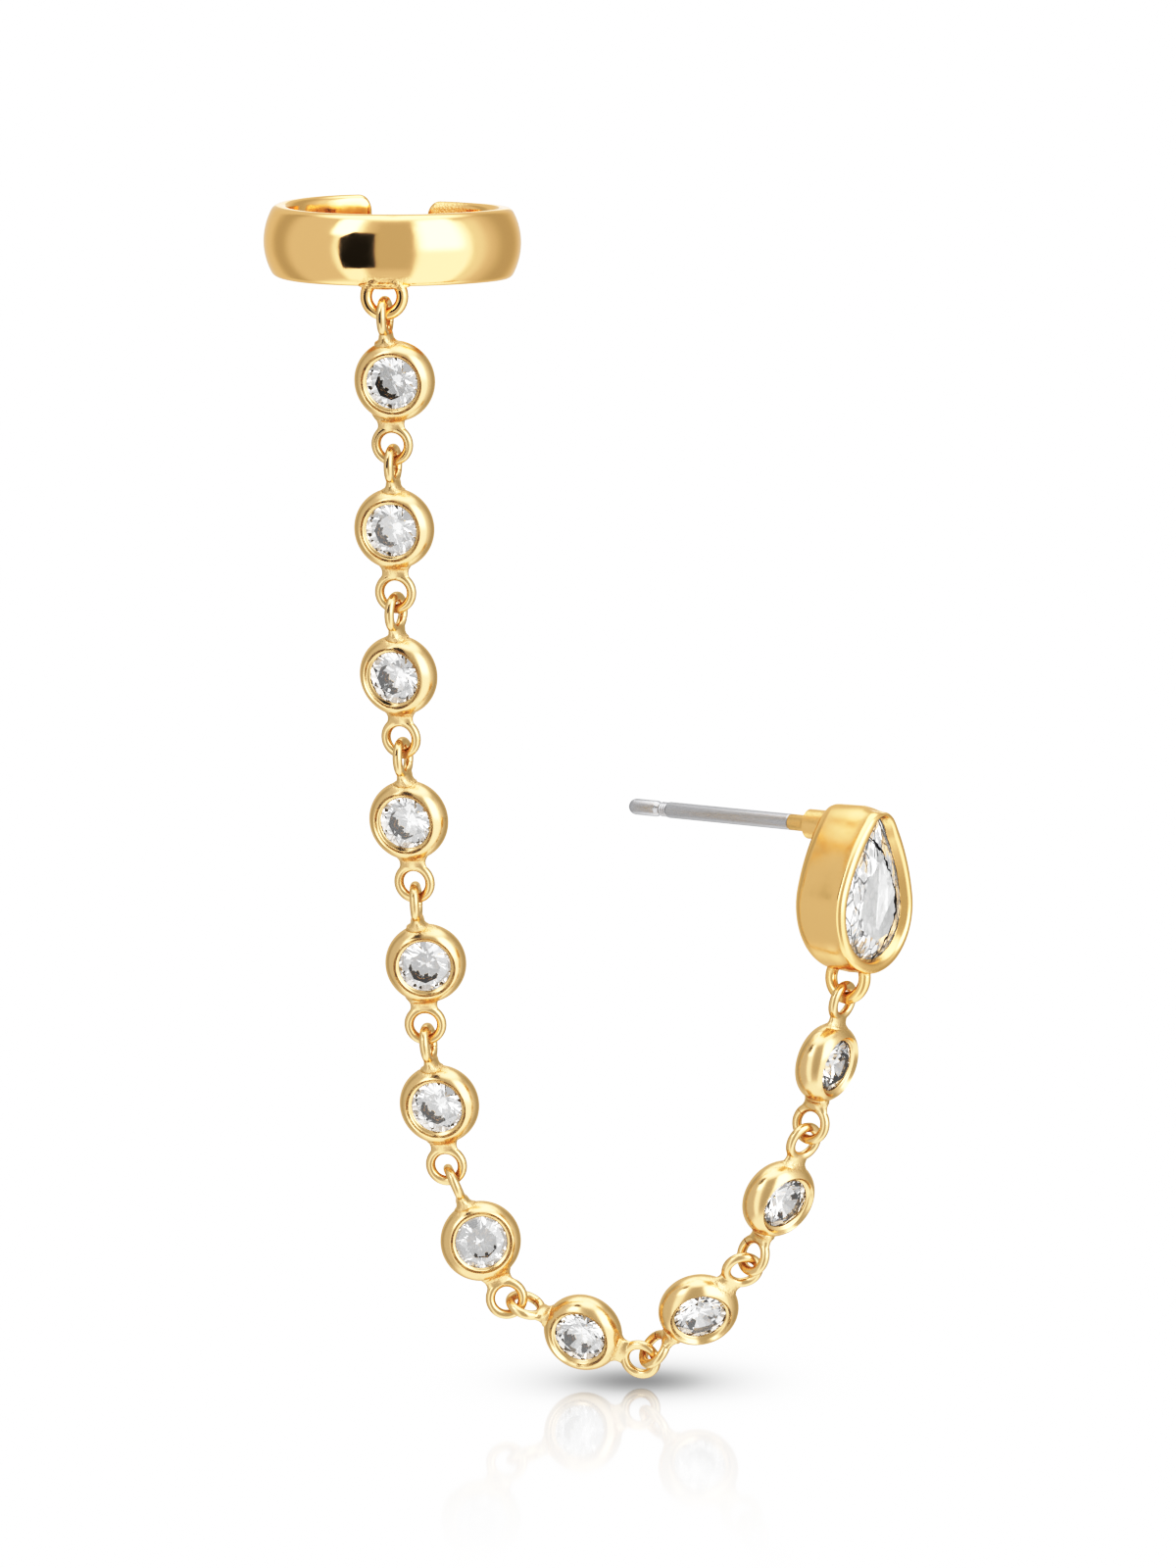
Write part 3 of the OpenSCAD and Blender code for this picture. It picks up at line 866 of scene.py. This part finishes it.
def neck_stations(upward):
    """Rows of height above the bezel's middle, half width and half depth in mm, hollow at both ends."""
    if upward:
        hollow, top = 0.3, 2.22
        rows = [(1.42, 0.45, 0.6), (1.55, 0.54, 0.62), (1.68, 0.57, 0.62), (1.8, 0.61, 0.6)]
        for height in (1.93, 1.98, 2.04, 2.1, 2.16):
            rows.append((height, 0.64, 0.64 - hollow * math.sin(math.acos((top - height) / hollow))))
        return [*rows, (top, 0.66, 0.34), (2.3, 0.69, 0.32), (2.38, 0.73, 0.28), (2.45, 0.73, 0.22)]
    hollow, top = 0.35, 2.167
    pairs = [(1.5, 0.9), (1.6, 0.93), (1.72, 0.87), (1.83, 0.795)]
    pairs += fillet(0.45, 0.66, 2.162, 210, 180, 6)
    pairs += fillet(0.3, 0.66, 2.192, 180, 136, 4)
    rows = []
    for height, width in pairs:
        if height < top:
            below = min(hollow, top - height)
            depth = min(0.52, 0.63 - math.sqrt(max(0.0, hollow**2 - below**2)))
        else:
            depth = 0.28 - 0.2 * (height - top)
        rows.append((height, width, depth))
    return [*rows, (2.47, 0.74, 0.17)]


def fillet(radius, half_width, height, start, end, steps):
    """Pairs of height and half width along a hollow round whose middle lies beside the neck."""
    return [(z, x) for x, z in arc((half_width + radius, height), radius, start, end, steps)]


def neck(name, upward):
    """Solder between a bezel and a loop, drawn up from an ellipse by extruding and resizing it."""
    rows = [Vector(row) * MM for row in neck_stations(upward)]
    select_only()
    bpy.ops.mesh.primitive_circle_add(vertices=40, radius=1.0, fill_type="NGON")
    piece = newest(name)
    edit(piece)
    choose_all()
    height, width, depth = rows[0]
    bpy.ops.transform.resize(value=(width, depth, 1), center_override=(0, 0, 0))
    bpy.ops.transform.translate(value=(0, 0, height))
    for last, row in zip(rows, rows[1:]):
        extrude((0, 0, row[0] - last[0]))
        squeeze = (row[1] / last[1], row[2] / last[2], 1)
        bpy.ops.transform.resize(value=squeeze, center_override=(0, 0, row[0]))
    close_mesh()
    if upward:
        settle(piece, Matrix.Rotation(math.pi / 2, 4, "Z"))
    return piece


def soldered_loop(name, sizes, upward):
    """A loop and its neck, above the bezel and across it, or below the bezel and in its plane."""
    solder = neck(name + "_neck", upward)
    centre = (0, 0, sizes.reach)
    rotation = (0, math.pi / 2, 0) if upward else (math.pi / 2, 0, 0)
    loop = wire_loop(name, sizes.loop_radius, sizes.wire, centre, rotation)
    if upward:
        cut_seam(loop, sizes)
    combine(loop, [solder])
    if not upward:
        settle(loop, Matrix.Rotation(math.pi, 4, "Y"))
    return loop


def cut_seam(loop, sizes):
    """Saws aslant through the wire at the back of the loop, where its ends were closed."""
    swing = math.radians(28)
    slant = 0.25
    around = Vector((0, math.cos(swing), -math.sin(swing))) * sizes.loop_radius
    place = around + Vector((0, 0, sizes.reach))
    select_only()
    bpy.ops.mesh.primitive_cube_add(size=4 * sizes.wire, location=place, rotation=(-swing, slant, 0))
    saw = newest("seam_saw")
    saw.scale = (1, 1, sizes.seam / (4 * sizes.wire))
    apply_place()
    combine(loop, [saw], operation="DIFFERENCE")


def solder_on_link(point, sizes):
    """Grain on the necks, strongest where they meet the bezel."""
    at_bezel = fade(abs(abs(point.z) - 1.95 * MM), 0.34 * MM)
    aside = fade(max(0.0, abs(point.x) - 0.75 * MM), 0.3 * MM)
    return at_bezel * aside * (1.0 if point.z > 0 else 0.75)


def link_master(shift, sizes):
    """One link at the origin, facing -Y, with its bezel moved off the line of its loops."""
    bezel = lathe("bezel", bezel_profile(sizes), 96)
    settle(bezel, Matrix.Translation((shift * MM, 0, 0)))
    loops = [
        soldered_loop("cuff_side_loop", sizes, True),
        soldered_loop("stud_side_loop", sizes, False),
    ]
    combine(bezel, loops)
    mark_solder(bezel, lambda co: solder_on_link(co, sizes))
    return bezel


class EARRING_OT_links(bpy.types.Operator):
    """Model one link for each offset of its bezel, and hang a copy in every link's place"""

    bl_idname = "earring.links"
    bl_label = "Links"

    def execute(self, context):
        sizes = context.scene.link_sizes
        gold = gold_plate("pale")
        shifts = sorted({pose[SHIFT] for pose in LINK_POSES})
        masters = {shift: link_master(shift, sizes) for shift in shifts}
        for number, (pose, place) in enumerate(zip(LINK_POSES, chain_places()), 1):
            link = copy_of(masters[pose[SHIFT]], f"bezel_link_{number:02d}")
            settle(link, place)
            finish_piece(link, [gold], [f"link_{number:02d}"])
        for master in masters.values():
            bpy.data.objects.remove(master)
        return {"FINISHED"}


# Stud

# The stone's outline in outline units: the radius of its round end and the height of its point above the
# middle of that, the middle of its long arc, and the slopes at which the arc leaves and ends at the point
ROUND_END, POINT = 49, 91
ARC_MIDDLE = (-120, -35)
ARC_SLOPE, POINT_SLOPE = (7, 24), (21, 20)


class EARRING_OT_stud(bpy.types.Operator):
    """Sweep the pear setting round its outline, and solder its loop, cup and sleeve to it"""

    bl_idname = "earring.stud"
    bl_label = "Pear stud"

    def execute(self, context):
        sizes = context.scene.stud_sizes
        setting = pear_setting(sizes)
        centre = (0, 0, -sizes.loop_drop)
        loop = wire_loop("stud_loop", sizes.loop_radius, sizes.loop_wire, centre, (0, math.pi / 2, 0))
        combine(setting, [loop, solder_cup(context.scene.post_sizes, sizes)])
        mark_solder(setting, lambda co: solder_on_stud(co, sizes))
        settle(setting, chain_places()[-1])
        finishes = [gold_plate("soft"), bright_lining()]
        finish_piece(setting, finishes, ["stud_setting"], allowed=0.5 * MM)
        return {"FINISHED"}


def pear_section(sizes):
    """The setting's section, as offsets from the stone's outline and heights in front of its middle."""
    half = sizes.depth / 2
    inward = -ROUND_END * sizes.unit
    girdle = half - 0.48 * MM
    rim = (sizes.wall - sizes.rim_radius, half - sizes.rim_radius)
    pairs = [(inward, -half)]
    pairs += arc((sizes.wall - sizes.back_edge, sizes.back_edge - half), sizes.back_edge, 270, 360, 14)
    pairs += [
        (sizes.wall, 0.2 * MM),
        (sizes.wall - 0.5 * sizes.waist, 0.55 * MM),
        (sizes.wall - sizes.waist, 0.78 * MM),
    ]
    pairs += arc(rim, sizes.rim_radius, -12, 104, 16)
    pairs += [
        (0.129 * MM, half - 0.111 * MM),
        (0.047 * MM, half - 0.225 * MM),
        (-0.02 * MM, girdle + 0.13 * MM),
        (-0.05 * MM, girdle + 0.1 * MM),
        (-0.05 * MM, girdle + 0.055 * MM),
        (0.03 * MM, girdle + 0.02 * MM),
        (0.03 * MM, girdle - 0.11 * MM),
        (inward, 0.38 * MM - half),
    ]
    return pairs


def pear_setting(sizes):
    """Half of the setting is spun round the round end, the long arc and the point, then mirrored."""
    start = ROUND_END * sizes.unit
    points = [Vector((0, -height, -(start + offset))) for offset, height in pear_section(sizes)]
    setting = draw_profile("pear_setting", points)
    choose_all()
    leave = math.atan2(*ARC_SLOPE)
    at_point = math.atan2(*POINT_SLOPE)
    spin(math.pi / 2 + leave, 64)
    spin(at_point - leave, 44, centre=(ARC_MIDDLE[0] * sizes.unit, 0, ARC_MIDDLE[1] * sizes.unit))
    spin(math.pi / 2 - at_point, 14, centre=(0, 0, POINT * sizes.unit))
    choose_all()
    middle = (0.0005 * MM, 0, 0)
    bpy.ops.mesh.bisect(plane_co=middle, plane_no=(1, 0, 0), clear_inner=True, threshold=1e-8)
    bpy.ops.transform.resize(value=(0, 1, 1), center_override=(0, 0, 0))
    close_mesh(merge=TOUCHING)
    mirror(setting)
    edit(setting)
    close_mesh(merge=0.002 * MM)
    soften_the_point(setting, sizes)
    deepen_the_top(setting, sizes)
    for face in setting.data.polygons:
        behind_the_stone = -1.2 * MM < -face.center.y < 1.0 * MM
        inward = face.center.x * face.normal.x + face.center.z * face.normal.z < 0
        face.material_index = 1 if behind_the_stone and inward else 0
    return setting


def soften_the_point(setting, sizes):
    """Draws the outside of the point in toward its inside corner, more at the rim than at the back."""
    edit(setting)
    half = sizes.depth / 2
    corner = Vector((0, 0, 4.48 * MM))
    rim = (-half - 0.1 * MM, -half + 0.3 * MM, 0.36)
    back = (half - 1.0 * MM, half + 0.1 * MM, 0.62)
    for front, behind, part in (rim, back):
        choose_vertices(
            setting,
            lambda co: abs(co.x) < 0.01 * MM and co.z > corner.z and front < co.y < behind,
        )
        bpy.ops.transform.resize(
            value=(1, 1, part), center_override=corner, proportional_size=1.5 * MM, **SOFTLY
        )
    bpy.ops.object.mode_set(mode="OBJECT")


def deepen_the_top(setting, sizes):
    """Tips the back of the setting, so that it is deeper behind the point than below it."""
    edit(setting)
    choose_vertices(setting, lambda co: co.y > sizes.depth / 2 - 1.22 * MM)
    pivot = (0, sizes.depth / 2, -1.5 * MM)
    bpy.ops.transform.rotate(value=sizes.back_tip, orient_axis="X", center_override=pivot)
    bpy.ops.object.mode_set(mode="OBJECT")


def solder_cup(post, sizes):
    """A domed cup of solder on the setting's back, and the short sleeve that the post stands in."""
    sunk = 0.7 * MM
    dome = 1.1 * MM
    reach = post.cup_length + post.sleeve_length
    socket, bottom = 0.27 * MM, 0.6 * MM
    swing = math.degrees(math.asin(post.cup_radius / dome))
    join = math.degrees(math.asin(post.radius / dome))
    pairs = [(0, -sunk), (post.cup_radius, -sunk), (post.cup_radius, 0)]
    pairs += arc((0, post.cup_length - dome), dome, 90 - swing, 90 - join - 4, 8)
    pairs += [
        (post.radius + 0.02 * MM, post.cup_length + 0.01 * MM),
        (post.radius, post.cup_length + 0.06 * MM),
        (post.radius, reach - 0.05 * MM),
        (post.radius - 0.03 * MM, reach),
        (socket, reach),
        (socket, bottom),
        (0, bottom),
    ]
    cup = lathe("solder_cup", [Vector((radius, away, 0)) for radius, away in pairs], 48)
    settle(cup, Matrix.Translation((0, sizes.depth / 2, post.height)))
    return cup


def solder_on_stud(point, sizes):
    """Grain on the solder cup and its sleeve, and where the loop meets the setting."""
    behind = fade(max(0.0, sizes.depth / 2 + 0.25 * MM - point.y), 0.3 * MM)
    below = fade(abs(point.z + 3.05 * MM), 0.28 * MM)
    beside = fade(max(0.0, abs(point.x) - 0.4 * MM), 0.3 * MM)
    return max(0.3 * behind if point.z > 0 else 0.0, below * beside)


# Post

# Its groove, as parts of the post's radius at distances in mm from the start: the first of three like rings,
# the space from one to the next, and the taper after them
RING = ((0.82, 0.07), (0.82, 0.1), (0.91, 0.13), (0.91, 0.155))
RING_PITCH = 0.13
TAPER = ((0.79, 0.5), (0.81, 0.58), (0.95, 0.69), (1, 0.78))


class EARRING_OT_post(bpy.types.Operator):
    """Spin the straight post with its ringed groove and rounded tip"""

    bl_idname = "earring.post"
    bl_label = "Post"

    def execute(self, context):
        post = context.scene.post_sizes
        sizes = context.scene.stud_sizes
        tail, tail_start = 0.25 * MM, 0.62 * MM
        start = post.cup_length + post.sleeve_length + 0.01 * MM
        groove = post.reach - 2.4 * MM
        pairs = [(0, tail_start), (tail, tail_start), (tail, start)]
        pairs += [(post.radius - 0.03 * MM, start), (post.radius, start + 0.04 * MM)]
        pairs += [(post.radius, groove - 0.06 * MM), (0.97 * post.radius, groove)]
        rings = [(part, away + RING_PITCH * ring) for ring in range(3) for part, away in RING]
        pairs += [(part * post.radius, groove + away * MM) for part, away in (*rings, *TAPER)]
        pairs += arc((0, post.reach - post.radius), post.radius, 0, 90, 12)
        steel = lathe("steel_post", [Vector((radius, away, 0)) for radius, away in pairs], 56)
        settle(steel, chain_places()[-1] @ Matrix.Translation((0, sizes.depth / 2, post.height)))
        finish_piece(steel, [drawn_steel()], ["ear_post"], smooth=30)
        return {"FINISHED"}


class EARRING_OT_stones(bpy.types.Operator):
    """Give the round stones their clear finish and the pear stone its silvery one"""

    bl_idname = "earring.stones"
    bl_label = "Stones"

    def execute(self, context):
        clear = clear_stone()
        silvery = silvery_stone()
        for name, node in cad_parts.items():
            if "stone" in name:
                node.data.materials.clear()
                node.data.materials.append(silvery if name == "pear_stone" else clear)
        return {"FINISHED"}


# Stage

# Soft boxes and cards round the object: azimuth from the camera toward +X and half width, elevation and
# half height, and softness of the edges, all in degrees, then the light level. The later cover the earlier.
CARDS = (
    # azimuth, half width, elevation, half height, softness, level
    (0, 180, 84, 30, 20, 1.6),
    (0, 180, -84, 30, 20, 1.15),
    (5, 22, 5, 42, 14, 0.5),
    (130, 20, 0, 45, 30, 0.44),
    (-121, 12, 0, 45, 20, 0.44),
    (180, 6, 8, 7, 3, 1.0),
    (74, 20, -14, 52, 16, 0.8),
    (50, 27, -14, 52, 9, 1.28),
    (47, 20, 24, 26, 16, 2.3),
    (-40, 13, 0, 54, 10, 1.22),
    (-46, 12, 36, 15, 8, 2.4),
)
# Light beside the cards
ROOM_LEVEL = 0.62
# Part of all this light that reaches into the stones, and a little more of their own from all round
STONE_PART, STONE_LEVEL = 0.9, 0.08
# The black card near the cuff
CARD_SIZE = (16 * MM, 30 * MM)
CARD_PLACE = Vector((-14.2, -26.5, -1.75)) * MM
CARD_TURN = math.radians(-31.5)
# Side of the square floor in metres, and the place in front where its mirror image has faded out
FLOOR_SIZE = 6.0
MIRROR_FRONT = -54 * MM
# What the camera looks at, near the middle of the photo
CAMERA_TARGET = Vector((9.48, -2.0, -26.26)) * MM

# The tone of the picture: soft in the darks, with a shoulder up to white
TONE_CURVE = (
    # light in, light out
    (0.128, 0.088),
    (0.189, 0.175),
    (0.277, 0.32),
    (0.408, 0.527),
    (0.6, 0.785),
    (0.88, 0.965),
)


class EARRING_OT_stage(bpy.types.Operator):
    """Set the camera, the studio light and the pale floor"""

    bl_idname = "earring.stage"
    bl_label = "Stage"

    def execute(self, context):
        settings = context.scene.earring_stage
        self.set_tone(context.scene.view_settings)
        self.place_camera(context, settings)
        self.light_room(context)
        self.hang_card()
        self.lay_floor(context, settings)
        return {"FINISHED"}

    @staticmethod
    def set_tone(view):
        view.view_transform = "Standard"
        view.use_curve_mapping = True
        for light_in, light_out in TONE_CURVE:
            view.curve_mapping.curves[3].points.new(light_in, light_out)
        view.curve_mapping.update()

    @staticmethod
    def place_camera(context, settings):
        lens = bpy.data.cameras.new("camera")
        lens.sensor_fit = "VERTICAL"
        lens.sensor_height = 36
        lens.lens = settings.lens
        lens.clip_start = 0.01
        camera = bpy.data.objects.new("camera", lens)
        away = Vector((0, -math.cos(settings.elevation), math.sin(settings.elevation)))
        camera.location = CAMERA_TARGET + settings.distance * away
        camera.rotation_euler = (math.pi / 2 - settings.elevation, 0, 0)
        context.scene.collection.objects.link(camera)
        context.scene.camera = camera

    @staticmethod
    def light_room(context):
        world = bpy.data.worlds.new("studio")
        context.scene.world = world
        nodes = Nodes(world)
        way = nodes.add("ShaderNodeTexCoord").outputs["Generated"]
        across, ahead, up = nodes.add("ShaderNodeSeparateXYZ", Vector=way).outputs
        azimuth = nodes.math("DEGREES", nodes.math("ARCTAN2", across, nodes.times(ahead, -1.0)))
        elevation = nodes.math("DEGREES", nodes.math("ARCSINE", up))
        level = ROOM_LEVEL
        for middle, half_width, height, half_height, soft, card in CARDS:
            beside = nodes.math("PINGPONG", nodes.minus(azimuth, float(middle)), 180.0)
            above = nodes.math("ABSOLUTE", nodes.minus(elevation, float(height)))
            in_width = nodes.ramp(beside, half_width - soft / 2, half_width + soft / 2, 1.0, 0.0)
            in_height = nodes.ramp(above, half_height - soft / 2, half_height + soft / 2, 1.0, 0.0)
            level = nodes.blend(nodes.times(in_width, in_height), level, card)
        path = nodes.add("ShaderNodeLightPath").outputs
        in_stones = nodes.plus(nodes.times(level, STONE_PART), STONE_LEVEL)
        level = nodes.blend(path["Is Transmission Ray"], level, in_stones)
        room = nodes.add("ShaderNodeBackground", Strength=level)
        white = nodes.add("ShaderNodeBackground", Strength=1.0)
        for background in (room, white):
            background.inputs["Color"].default_value = (1, 1, 1, 1)
        seen = nodes.mix(path["Is Camera Ray"], room.outputs[0], white.outputs[0])
        nodes.add("ShaderNodeOutputWorld", Surface=seen)

    @staticmethod
    def hang_card():
        """A black card close to the cuff, which only reflections show."""
        select_only()
        bpy.ops.mesh.primitive_plane_add(size=1)
        card = newest("black_card")
        edit(card)
        choose_all()
        bpy.ops.transform.resize(value=(*CARD_SIZE, 1))
        choose_vertices(card, lambda co: co.x < 0 < co.y)
        bpy.ops.mesh.bevel(offset=0.35 * CARD_SIZE[0], affect="VERTICES")
        bpy.ops.object.mode_set(mode="OBJECT")
        upright = Matrix.Rotation(math.pi / 2, 4, "X")
        settle(card, Matrix.Translation(CARD_PLACE) @ Matrix.Rotation(CARD_TURN, 4, "Z") @ upright)
        black, nodes = new_material("black_card")
        nodes.surface(nodes.emission(Strength=0.02))
        card.data.materials.append(black)
        card.visible_camera = False
        card.visible_diffuse = False
        card.visible_shadow = False
        card.visible_transmission = False
        card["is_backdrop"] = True

    @staticmethod
    def lay_floor(context, settings):
        """A wide sheet just under the lowest loop, white and glossy, with a soft shadow on it."""
        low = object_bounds()[0][2] - settings.floor_gap
        place = (0, 0, low)
        select_only()
        bpy.ops.mesh.primitive_grid_add(
            x_subdivisions=8, y_subdivisions=8, size=FLOOR_SIZE, location=place
        )
        floor = newest("floor")
        apply_place()
        floor.visible_glossy = False
        floor.visible_transmission = False
        material, nodes = new_material("pale_floor")
        where = nodes.where()
        spot = Vector((*settings.shadow_place, low))
        away = nodes.math("DIVIDE", nodes.vector("DISTANCE", where, spot), settings.shadow_size)
        spread = nodes.times(nodes.math("POWER", away, 2.0), -0.5)
        shadow = nodes.times(nodes.math("EXPONENT", spread), settings.shadow_depth)
        level = nodes.minus(1.0, shadow)
        white = nodes.emission(Strength=level, Color=(*settings.floor, 1))
        grey = nodes.grey(level)
        shine = nodes.add("ShaderNodeBsdfAnisotropic", Roughness=0.06, Color=grey).outputs[0]
        ahead = nodes.add("ShaderNodeSeparateXYZ", Vector=where).outputs[1]
        gloss = nodes.ramp(ahead, MIRROR_FRONT, spot.y, 0.0, settings.floor_gloss)
        nodes.surface(nodes.mix(gloss, white, shine))
        floor.data.materials.append(material)
        floor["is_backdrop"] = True


class EARRING_PT_panel(bpy.types.Panel):
    """Lists the earring's pieces and its stage"""

    bl_label = "Ear chain earring"
    bl_idname = "EARRING_PT_panel"
    bl_space_type = "VIEW_3D"
    bl_region_type = "UI"
    bl_category = "Ear chain"

    def draw(self, context):
        for group in GROUPS:
            box = self.layout.box()
            settings = getattr(context.scene, group)
            for key in type(settings).__annotations__:
                box.prop(settings, key)
        for operator in OPERATORS:
            self.layout.operator(operator.bl_idname)


OPERATORS = (
    EARRING_OT_ear_cuff,
    EARRING_OT_links,
    EARRING_OT_stud,
    EARRING_OT_post,
    EARRING_OT_stones,
    EARRING_OT_stage,
)
CLASSES = (*GROUPS.values(), *OPERATORS, EARRING_PT_panel)


def register():
    for item in CLASSES:
        bpy.utils.register_class(item)
    for name, group in GROUPS.items():
        setattr(bpy.types.Scene, name, bpy.props.PointerProperty(type=group))


def unregister():
    for name in GROUPS:
        delattr(bpy.types.Scene, name)
    for item in reversed(CLASSES):
        bpy.utils.unregister_class(item)


def main():
    register()
    bpy.ops.earring.ear_cuff()
    bpy.ops.earring.links()
    bpy.ops.earring.stud()
    bpy.ops.earring.post()
    bpy.ops.earring.stones()
    bpy.ops.earring.stage()


if __name__ == "__main__":
    main()
